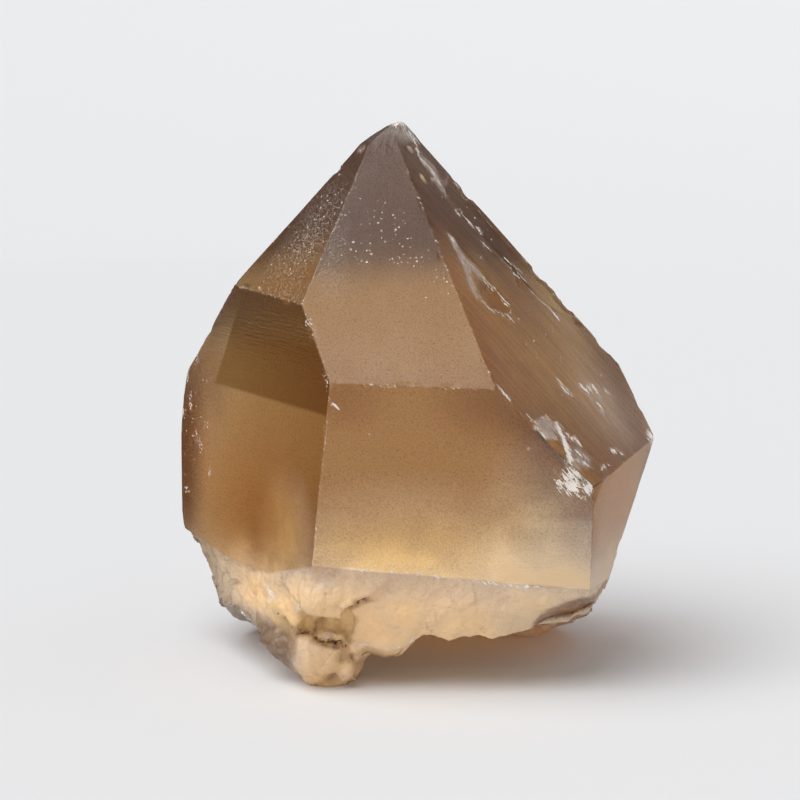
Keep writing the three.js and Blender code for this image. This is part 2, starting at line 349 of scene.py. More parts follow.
def crisp_edges():
    """The straight stretches where two natural faces meet: round the girdle, and up and down from it."""
    edges = [(belt[i], belt[(i + 1) % 12]) for i in range(12)]
    edges += [(tip[i], belt[i]) for i in range(12) if FACE_ABOVE[i - 1] != FACE_ABOVE[i]]
    return edges + [(belt[i], waist[i]) for i in range(12) if FACE_BELOW[i - 1] != FACE_BELOW[i]]


def step(distance, soft):
    """A smooth step of 3 s^2 - 2 s^3 from 0 to 1, as wide as soft, with its middle at 0."""
    s = np.clip(distance / soft + 0.5, 0, 1)
    return s * s * (3 - 2 * s)


def path_distance(u, v, path):
    """How far each point (u, v) is from a path: the least of its distances from the stretches."""
    at = np.stack(np.broadcast_arrays(u, v), axis=-1)
    path = np.array(path, float)
    return np.min([segment_distance(at, a, b) for a, b in zip(path[:-1], path[1:])], axis=0)


def groove(u, v, path, wide):
    """A groove along a path: a hill of the distance from it, down to nothing at that width."""
    return hill(path_distance(u, v, path) / wide)


def inside(u, v, outline):
    """How far each point (u, v) is inside a closed outline: the distance to it, less than 0 outside.

    A point is inside where a line to its right crosses the outline an odd number of times.
    """
    corners = np.array(outline, float)
    odd = np.zeros(u.shape, bool)
    for a, b in zip(corners, np.roll(corners, -1, axis=0)):
        if a[1] != b[1]:
            odd ^= ((a[1] > v) != (b[1] > v)) & (u < a[0] + (b[0] - a[0]) * (v - a[1]) / (b[1] - a[1]))
    away = path_distance(u, v, [*outline, outline[0]])
    return np.where(odd, away, -away)


# The right face's own measures: how far down its outer edge, and how far in from it
right_start = edge_at("point_right", "point_back_right", TIP_LEVEL)
down_edge = (belt[FAR_RIGHT] - right_start) / np.linalg.norm(belt[FAR_RIGHT] - right_start)
down = (rows - right_start) @ down_edge
inward = (rows - right_start) @ np.cross(down_edge, face_plane("point_right")[0])
on_right = lies_on("point_right")

# Its scars, as points down and inward: a ledge broken off along the outer edge with dark strips in
# it, an upper graze with its branch and a lower one, a lens-shaped pit, a dark pit and a notch
LEDGE = (
    (9.4, 5.6), (12.3, 4.8), (15.9, 4.4), (19, 5.2), (21.9, 4.9), (24.6, 4.7), (27, 4.8), (30.5, 4.5),
    (33, 3.6), (38, 1.2),
)
BEYOND_EDGE = ((38, -2), (7, -2), (7.5, 4))
GRAZE_UPPER = ((13.4, 12.9), (16.8, 14), (18.6, 14.6), (22.9, 13.8))
GRAZE_BRANCH = ((18.4, 16.4), (20.5, 18.4), (22.6, 19.4))
GRAZE_LOWER = ((31, 26.5), (36.3, 19.8), (47, 17.5))
LENS_PIT = (
    (21.3, 16.2), (22.2, 14.9), (23.6, 14), (26.7, 14.3), (27.8, 15.6), (26.8, 16.8), (24.9, 19),
    (23, 18.9), (21.8, 17.6),
)
DARK_STRIPS = (((9.6, 4.7), (12.3, 4.8)), ((15.6, 5.5), (19, 4.7), (21.5, 4.2), (24.6, 4.6)))
DARK_PIT = ((24.8, 5.3), (25.7, 6.1), (26.6, 6.8))
NOTCH = ((42.4, 33.4), (47.9, 33.4))

# How deep the ledge, the lens and the strips are, with their softness or width, and the grooves'
# widths and depths
LEDGE_DEEP, LEDGE_SOFT = 0.6, 0.5
LENS_DEEP, LENS_SOFT, LENS_INSET = 0.5, 0.8, 0.2
STRIP_DEEP, STRIP_WIDE = 0.4, 0.9
GROOVES = (
    (LEDGE[:-1], 1.0, 0.35), (GRAZE_UPPER, 1.6, 0.14), (GRAZE_BRANCH, 1.3, 0.12),
    (GRAZE_LOWER, 1.7, 0.12), (NOTCH, 1.5, 0.7), (DARK_PIT, 1.0, 0.5),
)
scars = LEDGE_DEEP * step(inside(down, inward, (*LEDGE, *BEYOND_EDGE)), LEDGE_SOFT)
scars += LENS_DEEP * step(inside(down, inward, LENS_PIT) - LENS_INSET, LENS_SOFT)
scars += STRIP_DEEP * np.max([groove(down, inward, strip, STRIP_WIDE) for strip in DARK_STRIPS], axis=0)
scars += sum(deep * groove(down, inward, path, wide) for path, wide, deep in GROOVES)
scars *= on_right

# The chip off the right front corner: everything proud of one plane is gone
CHIP_LOOKS, CHIP_LEANS, CHIP_OFF = 40.0, 20.0, 46.9
proud = rows @ direction(CHIP_LOOKS, CHIP_LEANS) - CHIP_OFF

# The front of the foot, in x and z: the tongue of clear skin with its scalloped hem, the slit
# beside it, the ochre ledge under it down to a bright crest, the rusty hollow, the fold, the
# lumps, and the part at the right that is cut back
TONGUE = (
    (-24, 26), (-19.6, 17), (-17.8, 15), (-16.2, 13.7), (-15.6, 12.7), (-14.9, 12.8), (-14.1, 12.1),
    (-13.1, 12.2), (-12.2, 11.8), (-11.1, 12), (-10.4, 13.5), (-7.1, 15), (-4, 17.5), (-2, 26),
)
SLIT = ((-10.5, 13), (-9.9, 13.8), (-8.6, 14.3), (-7.1, 15))
OCHRE_LEDGE = (
    (-16.9, 12.6), (-15.6, 12.9), (-13.1, 12.3), (-10.9, 12.2), (-9.6, 13.2), (-8.8, 11), (-9.4, 8),
    (-11, 8), (-11.7, 7.7), (-13.1, 8), (-14.1, 8.2), (-15.2, 8.7), (-16.9, 9.6),
)
CREST = (
    (-17.6, 9), (-16.4, 8.9), (-15.1, 8.5), (-14.1, 8), (-13.1, 7.8), (-12.3, 7.9), (-11.7, 7.4),
    (-10.9, 7.7), (-10.2, 6.6),
)
FACET_LINE = ((-12.7, 11.6), (-13.9, 10.2), (-15, 9.1))
RUSTY_HOLLOW = ((-20.6, 11.2), (-19.4, 10), (-18.5, 9))
FOLD_FLAP = (
    (-23.5, 17), (-22.3, 13), (-20.9, 10.8), (-19.3, 10.2), (-17.3, 9.9), (-16.6, 11), (-16.6, 13.2),
    (-18.6, 16.4),
)
LUMP_LEFT = (
    (-19.6, 9.2), (-17.6, 8.5), (-15.1, 8.2), (-13.1, 7.5), (-11.7, 7.2), (-10.6, 6.1), (-9.8, 4.6),
    (-9.4, 2.4), (-10, -2), (-22, -2), (-25, 5), (-22, 7.5),
)
LUMP_RIGHT = ((-8.3, 3), (-8.1, 5.7), (-6.9, 6.8), (-3.7, 6), (-0.7, 6.8), (0.4, 5), (-2, 2.9))
CUT_BACK = ((32, 17.5), (29.1, 15.2), (25, 15.1), (20.2, 13.4), (18.2, 11.2), (17.6, 8), (32, 8))

# How far they stand out or in: outlines with the softness of their edge, grooves with their width,
# the ledge's depth at two heights, the lip over the crest, a round knob, and the cut's slope
FRONT_RUNS, FRONT_LIMIT = (0, 1, 2, 3), -8.0
TONGUE_OUT, TONGUE_SOFT, TONGUE_LEVEL, TONGUE_FADE = 0.9, 0.35, 17.5, 6.0
FOOT_PARTS = ((FOLD_FLAP, 0.5, 0.6), (LUMP_LEFT, 0.7, 0.9), (LUMP_RIGHT, 0.4, -0.7))
FOOT_GROOVES = ((SLIT, 0.7, 1.0), (CREST, 0.65, 0.9), (RUSTY_HOLLOW, 1.5, 0.8))
OCHRE_SOFT, OCHRE_HEIGHTS, OCHRE_DEPTHS = 0.5, (8.0, 12.62), (0.2, 1.08)
FACET_WIDE, FACET_DEEP = 1.0, 0.6
LIP_OUT, LIP_ABOVE, LIP_WIDE = 0.5, 0.8, 0.7
KNOB, KNOB_REACH, KNOB_OUT = (-8.9, 6.5), 1.6, 0.9
CUT_SLOPE, CUT_DEEP = 0.45, 1.6

front = np.outer(band_of == FOOT, np.isin(run_of, FRONT_RUNS)) & (y < FRONT_LIMIT)
ledge_depth = np.interp(z, OCHRE_HEIGHTS, OCHRE_DEPTHS) + FACET_DEEP * groove(x, z, FACET_LINE, FACET_WIDE)
foot_out = TONGUE_OUT * step(inside(x, z, TONGUE), TONGUE_SOFT) * step(TONGUE_LEVEL - z, TONGUE_FADE)
foot_out += sum(out * step(inside(x, z, outline), soft) for outline, soft, out in FOOT_PARTS)
foot_out -= sum(deep * groove(x, z, path, wide) for path, wide, deep in FOOT_GROOVES)
foot_out -= step(inside(x, z, OCHRE_LEDGE), OCHRE_SOFT) * ledge_depth
foot_out += LIP_OUT * groove(x, z - LIP_ABOVE, CREST, LIP_WIDE) + KNOB_OUT * spot(x, z, KNOB, KNOB_REACH)
foot_out -= np.clip(CUT_SLOPE * inside(x, z, CUT_BACK), 0, CUT_DEEP)
foot_out *= front

# The shell-shaped bites at the back of the foot and under it: centre, reach, depth, ripple
SHELL_RIPPLE, SHELL_FRONT = 0.22, 0.25
SHELLS = (
    ((26, 16, 10), 12, 1.4, 0.24), ((-8, 27, 4), 15, 1.5, 0.2), ((-33, 10, 12), 12, 1.3, 0.22),
    ((14, 26, 10), 9, 0.9, 0.3), ((-27, -6, 13), 10, 1, 0.26), ((31, -8, 8), 9, 0.9, 0.3),
    ((4, -6, 6), 15, 1.2, 0.2), ((-6, 14, 3), 11, 0.9, 0.25),
)

# Random numbers lie in a block of cubes that repeats, with the stone's origin near its middle
BLOCK, BLOCK_START = 64, 31.7


def shell(at, reach, deep, ripple):
    """A shell-shaped bite: a hollow (1 - d^2)^2, with ripples cos(2 pi d / ripple) that grow with d."""
    d = np.linalg.norm(rows - np.array(at), axis=-1) / reach
    return deep * hill(d) * (1 + SHELL_RIPPLE * np.cos(2 * np.pi * d / ripple) * d)


def lattice(points, size, seed):
    """A smooth field from -1 to 1: random numbers at the corners of cubes of a size, blended between."""
    random = np.random.default_rng(seed).uniform(-1, 1, (BLOCK, BLOCK, BLOCK))
    place = points / size + BLOCK_START
    cell = np.floor(place).astype(int)
    share = place - cell
    share = share * share * (3 - 2 * share)
    total = np.zeros(points.shape[:-1])
    for corner_of_cube in np.ndindex(2, 2, 2):
        weight = np.prod(np.where(corner_of_cube, share, 1 - share), axis=-1)
        at = tuple(np.moveaxis((cell + corner_of_cube) % BLOCK, -1, 0))
        total += weight * random[at]
    return total


def crossed(points, size, seed, octaves=3):
    """Fields of half the size and half the strength laid over each other."""
    return sum(lattice(points, size / 2**i, seed + i) / 2**i for i in range(octaves))


def splintered(points, size, seed):
    """Flat chips at random: each cube of a size has one seed, and the nearest seed tilts its patch."""
    random = np.random.default_rng(seed)
    strewn = random.uniform(0, 1, (BLOCK, BLOCK, BLOCK, 3))
    tilts = random.uniform(-1, 1, (BLOCK, BLOCK, BLOCK, 3))
    place = points / size + BLOCK_START
    cell = np.floor(place).astype(int)
    nearest, height = np.full(points.shape[:-1], np.inf), np.zeros(points.shape[:-1])
    for neighbour in np.ndindex(3, 3, 3):
        beside = cell + neighbour - 1
        at = tuple(np.moveaxis(beside % BLOCK, -1, 0))
        offset = place - beside - strewn[at]
        away = (offset**2).sum(axis=-1)
        height = np.where(away < nearest, (offset * tilts[at]).sum(axis=-1), height)
        nearest = np.minimum(away, nearest)
    return height


# The break is splintered, in two sizes of which the finer is half as strong, more calmly on the
# right of its front, and the left lump has coarser facets
SPLINTER, CALM, WILD, CALM_FROM = 3.4, 0.2, 0.5, -8.0
FACET, FACET_OUT, FACET_SOFT = 5.5, 1.3, 1.5
splinters = splintered(rows, SPLINTER, seed=5) + splintered(rows, SPLINTER / 2, seed=6) / 2
splinters *= np.where(front & (x > CALM_FROM), CALM, WILD)
splinters += FACET_OUT * front * step(inside(x, z, LUMP_LEFT), FACET_SOFT) * splintered(rows, FACET, seed=9)
bites = sum(shell(*bite) for bite in SHELLS) * np.where(front, SHELL_FRONT, 1)

# The faces wave a little, in two sizes with a seed and a height each, and are nicked along their
# edges; the tip is worn and notched, and the right front corner is crushed
NICK, NICK_DEEP, NICK_FROM, NICK_REACH, NICK_LEVEL = 2.4, 0.6, 0.35, 0.9, 79.5
WAVES = ((9, 21, 0.05), (2.2, 31, 0.02))
WEAR, WEAR_DEEP, WEAR_LEVEL = 0.9, 0.1, 80.5
TIP_NOTCH, TIP_NOTCH_REACH, TIP_NOTCH_DEEP = (-7.8, -4.4, 80.6), 1.1, 0.7
CRUSHED_CORNER, CRUSHED_REACH, CRUSHED_DEEP, CRUSHED_CHIP = (23.6, -30.6, 34), 6.0, 0.45, 1.1
CRUSHED_BELOW = 1.2
edge = np.min([segment_distance(rows, a, b) for a, b in crisp_edges()], axis=0)
nicks = NICK_DEEP * np.clip(crossed(rows, NICK, seed=11) - NICK_FROM, 0, None)
nicks *= hill(edge / NICK_REACH) * step(NICK_LEVEL - z, soft=2.0)
waves = sum(strong * crossed(rows, size, seed) for size, seed, strong in WAVES)
tip_wear = WEAR_DEEP * splintered(rows, WEAR, seed=7) * step(z - WEAR_LEVEL, soft=3.0)
notch_away = np.linalg.norm(rows - np.array(TIP_NOTCH), axis=-1)
tip_notch = TIP_NOTCH_DEEP * hill(notch_away / TIP_NOTCH_REACH)
crushed = hill(np.linalg.norm(rows - np.array(CRUSHED_CORNER), axis=-1) / CRUSHED_REACH)
crushed *= CRUSHED_DEEP * np.abs(splintered(rows, CRUSHED_CHIP, seed=8)) * (proud > -CRUSHED_BELOW)

lift = waves + tip_wear - tip_notch - crushed - scars + foot_out
lift += np.where(breaks, splinters - bites, -np.clip(proud, 0, None) - nicks)
beside = np.roll(rows, -1, axis=1) - np.roll(rows, 1, axis=1)
outward = np.cross(np.gradient(rows, axis=0), beside)
outward /= np.linalg.norm(outward, axis=-1, keepdims=True)
skin = rows + outward * lift[..., None]


def ring_mesh(name, rows, top, bottom=None):
    """A skin over rings: quads between neighbouring rows and columns, and a fan to each end's point."""
    count, around = rows.shape[:2]
    k = np.arange(around)
    after = (k + 1) % around
    start = 1 + np.arange(count - 1)[:, None] * around
    quads = np.stack([start + k, start + around + k, start + around + after, start + after], axis=-1)
    faces = [*quads.reshape(-1, 4).tolist(), *np.stack([0 * k, 1 + k, 1 + after], axis=-1).tolist()]
    vertices = [top[None], rows.reshape(-1, 3)]
    if bottom is not None:
        lowest = 1 + (count - 1) * around
        vertices.append(bottom[None])
        faces += np.stack([0 * k + lowest + around, lowest + after, lowest + k], axis=-1).tolist()
    mesh = bpy.data.meshes.new(name)
    mesh.from_pydata(np.concatenate(vertices), [], faces)
    mesh.shade_smooth()
    return mesh


def placed(points):
    """Points in metres in the part's frame: shifted to the middle of its box, and kept inside it."""
    return np.clip((points + shift) * MM, np.array(cad_low), np.array(cad_high))


shift = np.array((*((np.array(cad_low)[:2] + np.array(cad_high)[:2]) / 2 / MM - centre), 0))
crystal = bpy.data.objects.new("crystal", ring_mesh("crystal", placed(skin), placed(top), placed(middle)))
bpy.context.collection.objects.link(crystal)


def mark(name, values, kind="FLOAT", key="value"):
    """A number or colour for each point of the skin, and the nearest row's at the poles, in the mesh."""
    attribute = crystal.data.attributes.new(name, kind, "POINT")
    flat = np.concatenate([values[:1, 0], values.reshape(-1, *values.shape[2:]), values[-1:, 0]])
    attribute.data.foreach_set(key, flat.ravel())


# White bruises on the right face, with painted highlights among them on the rims of the lens pit, at
# the upper graze and at the crushed corner, as paths down and inward with the half width of each
BRUISES_AND_HIGHLIGHTS = (
    (((-2, 1.8), (-0.6, 1.1), (1.6, 3.9)), 0.1), (((1.6, 3.9), (3.8, 3.4), (5.9, 4.3)), 0.14),
    (((5.9, 4.3), (7.6, 4.9)), -0.05), (((7.7, 4.7), (10.7, 5.3)), -0.12), (((11.4, 6.6), (12.2, 6.3)), 0),
    (((13, 5.6), (15.1, 5.6)), 0.1), (((14.1, 4.6), (16.4, 3.7)), 0.02),
    (((17.4, 7.3), (19, 6.8)), -0.12), (((18.3, 11.4), (19.5, 10)), -0.12),
    (((21.7, 5.4), (24.8, 3.9), (26.4, 4.1)), 0.05), (((22.2, 3.6), (25.6, 2.9)), -0.1),
    (((28.6, 5), (30.4, 4.8), (32, 4.5)), 0.3), (((33.5, 5.2), (34.5, 5.3)), 0.1),
    (((13, 13.1), (14, 13.3)), 0.18), (((21.2, 14), (21.5, 14.6), (23.2, 14.4)), -0.05),
    (((22.6, 19.6), (25.5, 19.1), (27.5, 17.4), (28.7, 16.7)), -0.05),
    (((23.6, 13.9), (26.7, 14.2), (27.8, 15.6)), -0.15), (((33, 33.5), (35.1, 33.7)), 0.06),
    (((39.1, 32.9), (43.1, 33.9)), -0.14), (((40.6, 32.7), (42, 33), (43.3, 32.5), (44.4, 31.3)), 0.02),
    (((40.6, 32.7), (41.8, 28.7)), -0.14), (((43.9, 28.2), (45.7, 29.5), (47.5, 31.3), (48.5, 32.2)), 0.46),
    (((45.8, 27.8), (46.9, 27.9), (47.2, 26.6), (48.3, 27.5)), 0.1), (((48.5, 29.2), (50.6, 28.2)), -0.1),
    (((49.2, 30.8), (51.4, 29.3)), -0.08), (((48.4, 32.4), (50, 33.4)), 0.2),
    (((40.2, 18.3), (43.2, 18.5)), -0.1), (((41, 18.5), (42.5, 18.8), (43.4, 19.4)), 0.05),
    (((43.6, 14.3), (44.9, 14.1), (44.9, 12.1), (45.7, 11.2), (46.9, 12)), 0.16),
    (((46.8, 14.2), (47.7, 14), (49, 14.8)), 0.08), (((47.3, 9.2), (48.5, 8.8)), 0.03),
    (((53.3, 20.7), (53.8, 19.1), (55.2, 18.7)), 0.03), (((53.3, 27), (53.9, 24.9)), -0.05),
)
# and on the front, in x and z: painted highlights on the crest, the line over the right lump, the
# fold, the tongue's hem and the faint line where the front side ends, and a few small white specks
FRONT_BRUISES_AND_HIGHLIGHTS = (
    (((-15.1, 9), (-14.1, 8.6), (-13.1, 8.4), (-11.8, 8.3)), -0.06),
    (((-8.3, 7.2), (-6.9, 7.1), (-3.7, 6.3), (-0.8, 7)), 0.10), (((-2.6, 6.5), (-1.9, 6.6)), 0.3),
    (((-22.4, 13.6), (-21, 11), (-19.6, 10.3), (-17.4, 10)), 0.05),
    (((-16, 13.3), (-15, 12.9), (-13.1, 12.3), (-11.1, 12.2)), 0), (((-0.5, 7.6), (-0.1, 8.3)), 0.2),
    (((-12, 19.8), (1, 18.9), (12.5, 17.3), (17, 16.9)), -0.1), (((15.6, 16.8), (19, 16.8)), 0.05),
    (((16.9, 38.2), (17.4, 38.45), (17.9, 38.2)), 0), (((-11.9, 45.2), (-10.9, 44.5)), 0.08),
    (((12.4, 36.9), (12.6, 36.9)), 0.1), (((-21.8, 14.5), (-21, 13.2)), 0.1),
    (((-17, 13.8), (-17, 12.7)), 0), (((-13.4, 38.9), (-13.2, 42)), 0),
)
# and on the left side, short strokes that run down its outer part: across, z and length
LEFT_STROKES = (
    (-24.2, 38.4, 2.2), (-19.4, 36.1, 1.2), (-21.1, 32, 1.6), (-22.2, 33.6, 1.2), (-27.6, 31.5, 1.4),
    (-26, 42.6, 2), (-25.3, 24.5, 1), (-17.5, 56.5, 1.4), (-20, 52.5, 1.2), (-23.2, 46, 1.8),
    (-18.6, 28.5, 1), (-26.6, 36.6, 1.2),
)
# and at the crushed corner and the worn corners, as balls
CRUSHED_BALLS = (
    ((23.5, -30.6, 33.3), 2.1), ((26.2, -28.8, 32.4), 0.8), ((24.8, -30, 31), 0.6),
    ((37.4, -6.9, 36.2), 0.7), ((-2.2, -2.2, 85.4), 1.2), ((-15.7, -24.6, 56.4), -0.05),
    ((-14.9, -26, 54.6), -0.25), ((-12.6, -30.2, 48.2), -0.1), ((-13, -29.4, 49.6), -0.2),
)
STROKE_LEAN, STROKE_WIDE = 0.1, -0.1
FRONT_CRISPNESS, BALL_CRISPNESS = 1.6, 0.65
TIP_PART = 80.0
FAR = 9.0


def nearest_path(u, v, paths):
    """How far each point is from the nearest path, less than 0 within that path's half width."""
    return np.min([path_distance(u, v, path) - wide for path, wide in paths], axis=0)


on_front = front | lies_on("side_front")
on_left = lies_on("side_left")
left_across = across(rows, "side_left")
strokes = [
    (((at, low), (at - STROKE_LEAN * long, low + long)), STROKE_WIDE) for at, low, long in LEFT_STROKES
]
balls = [np.linalg.norm(rows - np.array(ball), axis=-1) - reach for ball, reach in CRUSHED_BALLS]
bruise_and_highlight = np.min([
    np.where(on_right | (z > TIP_PART), nearest_path(down, inward, BRUISES_AND_HIGHLIGHTS), FAR),
    np.where(on_front, FRONT_CRISPNESS * nearest_path(x, z, FRONT_BRUISES_AND_HIGHLIGHTS), FAR),
    np.where(on_left, nearest_path(left_across, z, strokes), FAR),
    BALL_CRISPNESS * np.min(balls, axis=0),
], axis=0)

# Violet-white haze along the grazes and round the crushed corner, as outlines down and inward
# with the strength of each, and a thin oval cloud of it on the lower part
HAZES = (
    ((
        (13, 13.2), (13.9, 12.8), (16.6, 14.2), (19, 13.6), (21.2, 13.9), (20.8, 15.8), (19.4, 15.4),
        (19.5, 16.9), (22.5, 19.3), (21.9, 20.6), (20, 19.2), (17.6, 16.8), (15.6, 15.5), (14.2, 14.9),
    ), 1.0),
    (((40.6, 32.7), (41.8, 28.7), (44.5, 28.4), (44.4, 31.3), (43.3, 32.5), (42, 33)), 0.7),
    (((47.5, 29.3), (48.9, 27.7), (51.2, 27.4), (51.3, 30.4), (49.9, 32.2), (48.5, 31.9)), 0.4),
    (((1.6, 2.6), (4, 1.9), (7, 3.6), (9, 5.6), (7.4, 6), (4.6, 4.6), (1.8, 4)), 0.45),
)
HAZE_SOFT, HAZE_SPREAD = 0.5, 0.1
THIN_HAZE, THIN_AT, THIN_LONG, THIN_WIDE = 0.24, (50, 12), 14.0, 12.0
thin_haze = THIN_HAZE * hill(np.hypot((down - THIN_AT[0]) / THIN_LONG, (inward - THIN_AT[1]) / THIN_WIDE))
haze = on_right * np.max([thin_haze, *(
    strong * step(inside(down, inward, outline) + HAZE_SPREAD, HAZE_SOFT) for outline, strong in HAZES
)], axis=0)

# Ochre stain in the ledge, round the rusty hollow and the slit and in two spots on the lump, and
# flecks of gold on the right face; cracks dark with rust, and with painted shade in the slit, under
# the crest, in the dark pit and in the tip's notch
OCHRE_SHARE, OCHRE_SPREAD, OCHRE_FADE = 0.9, 0.3, 1.6
OCHRE_PATHS = ((RUSTY_HOLLOW, 3.2, 0.8), (SLIT, 1.0, 0.4))
OCHRE_SPOTS = (((-13, 1.6), 2, 0.6), ((-11.3, 5.1), 1.6, 0.7))
GOLD_FLECKS = (((-0.4, 4.2), 0.55), ((3.9, 7.4), 0.5), ((4.5, 7.7), 0.4), ((5.3, 5.3), 0.35))
GOLD_SOFT = 0.5
CRACKS = ((SLIT, 0.3), (CREST, 0.14), (RUSTY_HOLLOW, 0.1))
DARK_PIT_WIDE, NOTCH_DARK = 0.25, 0.45
ochre = OCHRE_SHARE * step(inside(x, z, OCHRE_LEDGE) + OCHRE_SPREAD, OCHRE_FADE)
ochre += sum(share * groove(x, z, path, wide) for path, wide, share in OCHRE_PATHS)
ochre += sum(share * spot(x, z, at, reach) for at, reach, share in OCHRE_SPOTS)
gold = [step(reach - np.hypot(down - at[0], inward - at[1]), GOLD_SOFT) for at, reach in GOLD_FLECKS]
ochre = np.maximum(front * np.clip(ochre, 0, 1), on_right * np.max(gold, axis=0))
rust_and_crevice_shade = np.min([
    np.where(front, nearest_path(x, z, CRACKS), FAR),
    np.where(on_right, path_distance(down, inward, DARK_PIT) - DARK_PIT_WIDE, FAR),
    notch_away - NOTCH_DARK,
], axis=0)

# Brown on the break: painted shade under the hem, on the ledge's dark facet and under its crest, and
# in the dark strips of the right face's ledge; and the stone's own brown in the lump's clear left
# half, in stain spots on the lump and on the facet cut back at the right
HEM = ((-16.2, 13.1), (-15.1, 12), (-13.3, 11.4), (-11, 11.5), (-10.4, 12.7), (-8.6, 14))
UNDER_CREST = ((-17.6, 8.5), (-15.1, 7.9), (-13.1, 7.2), (-11.7, 6.9), (-10.9, 7.1))
CLEAR_LUMP = (
    (-27, 11), (-23.1, 9.6), (-20, 8.6), (-17.8, 7.6), (-17.2, 5.9), (-18.6, 3.2), (-18, 0), (-27, 0),
)
PAINTED_SHADE_PATHS = ((HEM, 0.6, 0.4), (FACET_LINE, 0.9, 0.6), (UNDER_CREST, 0.6, 0.9))
BROWN_AREAS = ((CLEAR_LUMP, 2.0, 0.62), (CUT_BACK, 0.5, 0.5))
SPOT_STAIN, STRIP_PAINTED_SHADE, STRIP_PAINTED_SHADE_WIDE = 0.7, 0.8, 1.0
STAIN_SPOTS = (
    ((-18.4, 7.4), 1), ((-12.6, 2), 1.5), ((-11.1, 5.3), 1.3), ((-9.6, 4.9), 1),
    ((-10.2, 8.1), 0.9), ((-9.6, 7.7), 0.8),
)
stain_and_painted_shade = front * np.max([
    *(dark * groove(x, z, path, wide) for path, wide, dark in PAINTED_SHADE_PATHS),
    *(dark * step(inside(x, z, outline), soft) for outline, soft, dark in BROWN_AREAS),
    *(SPOT_STAIN * spot(x, z, at, reach) for at, reach in STAIN_SPOTS),
], axis=0)
strips = np.max([groove(down, inward, strip, STRIP_PAINTED_SHADE_WIDE) for strip in DARK_STRIPS], axis=0)
stain_and_painted_shade = np.maximum(stain_and_painted_shade, STRIP_PAINTED_SHADE * on_right * strips)

# A painted dark image of the back faces as seen through the left side: its outline across and
# up, and how it fades towards its top
BACK_IMAGE = ((-17.3, 43.3), (40, 43.3), (40, 59.5), (-7.6, 59.3), (-12.8, 50.7))
BACK_IMAGE_FADE, BACK_IMAGE_FADE_LEVEL, BACK_IMAGE_FADE_LONG = 0.75, 55.0, 7.0
painted_back_image = np.where(on_left, inside(left_across, z, BACK_IMAGE), -FAR)
fading = 1 - BACK_IMAGE_FADE * step(z - BACK_IMAGE_FADE_LEVEL, BACK_IMAGE_FADE_LONG)


def cloud(name, at, height, wide, high):
    """A soft oval patch on one face: a hill of the distance from its middle, across and up."""
    return lies_on(name) * hill(np.hypot((across(rows, name) - at) / wide, (z - height) / high))


def clouds(patches):
    """Soft patches laid over each other: the sum of each one's cloud and share."""
    return sum(share * cloud(*patch) for *patch, share in patches)


# White flecks strewn over the dark upper faces, and a sandy dust of finer ones: the face, the
# place across and up, the reach both ways, and the share
FLECKED = (
    ("point_front", -8, 70, 6, 8, 0.5), ("point_front", -3.5, 69.5, 4.5, 4.5, 0.9),
    ("point_front", -8, 65.7, 5, 2, 0.9), ("point_front", -1.5, 65.5, 5, 2.6, 1),
    ("point_front", 3, 61.5, 5, 5, 0.6), ("point_left", 0, 67, 8, 12, 0.7),
    ("point_right", 3, 74, 8, 9, 0.6), ("point_right", 6, 50, 16, 14, 0.25),
    ("side_left", -23, 38, 7, 22, 0.4),
)
STRAY_FLECKS = 0.012
SANDY = (
    ("point_left", 1, 66, 9, 15, 0.9), ("point_front", -12.5, 67, 3.5, 12, 0.5),
    ("side_left", -20, 50, 9, 14, 0.5), ("point_left", 6, 59, 10, 5, 0.5),
)

# How much weaker the frosted grain is: on the right faces, low on the left side and on the break
SMOOTHER_POINT, SMOOTHER_SIDE, SMOOTHER_LEFT, BREAK_GRAIN = 0.4, 0.5, 0.35, 0.5
LOW_LEFT_FROM, LOW_LEFT_LEVEL, LOW_LEFT_SOFT = -2.0, 40.0, 10.0
low_left = on_left * step(left_across - LOW_LEFT_FROM, LOW_LEFT_SOFT)
low_left *= step(LOW_LEFT_LEVEL - z, LOW_LEFT_SOFT)
grainy = 1 - SMOOTHER_POINT * on_right - SMOOTHER_SIDE * lies_on("side_right") - SMOOTHER_LEFT * low_left
grainy *= np.where(breaks, BREAK_GRAIN, 1)

# Milky haze in the foot, thickest in front and not so high on the left side, thin in the clear lump
# and the facet cut back, with a cloud and a pale zone above it, and ashen at the right
MILK_LEVEL, MILK_FADE, MILK_LOWER_LEFT, MILK_BACK, MILK_FRONT = 19.5, 13.0, 2.5, 0.25, 0.62
FRONT_FROM, FRONT_SOFT, ASHEN_FROM, ASHEN_SOFT = -4.0, 16.0, 12.0, 24.0
CLEAR_SHARE, CLEAR_FROM, CLEAR_LEVEL, CLEAR_FACET = 0.6, -17.0, 9.5, 0.75
MILK_CLOUD = ("side_front", 20, 21, 15, 16, 0.42)
PALE_ZONE, PALE_MILK, PALE_SOFT = ((11.0, 16), (12.4, 27), (16, 27.6), (30, 27), (30, 16)), 0.1, 0.7
facing = step(FRONT_FROM - y, FRONT_SOFT)
milk = step(MILK_LEVEL - z - MILK_LOWER_LEFT * on_left, MILK_FADE) * (MILK_BACK + MILK_FRONT * facing)
milk *= 1 - CLEAR_SHARE * step(CLEAR_FROM - x, soft=5.0) * step(CLEAR_LEVEL - z, soft=3.0)
milk *= 1 - CLEAR_FACET * front * step(inside(x, z, CUT_BACK), soft=1.0)
milk += clouds([MILK_CLOUD]) + PALE_MILK * lies_on("side_front") * step(inside(x, z, PALE_ZONE), PALE_SOFT)
ashen = step(x - ASHEN_FROM, ASHEN_SOFT) * facing

# Painted glow above the milk: light shining through the stone, painted as a solid honey gold
PAINTED_GLOWS = (
    ("side_front", -2, 21, 26, 15, 0.5), ("side_front", 17, 31, 9, 12, 0.16),
    ("side_left", 8, 23, 12, 13, 0.32), ("side_left", -12, 20, 12, 12, 0.06),
    ("point_front", 0, 50, 30, 10, 0.08), ("side_right", -8, 20, 8, 12, 0.15),
    ("point_right", 6, 41, 9, 9, 0.2),
)
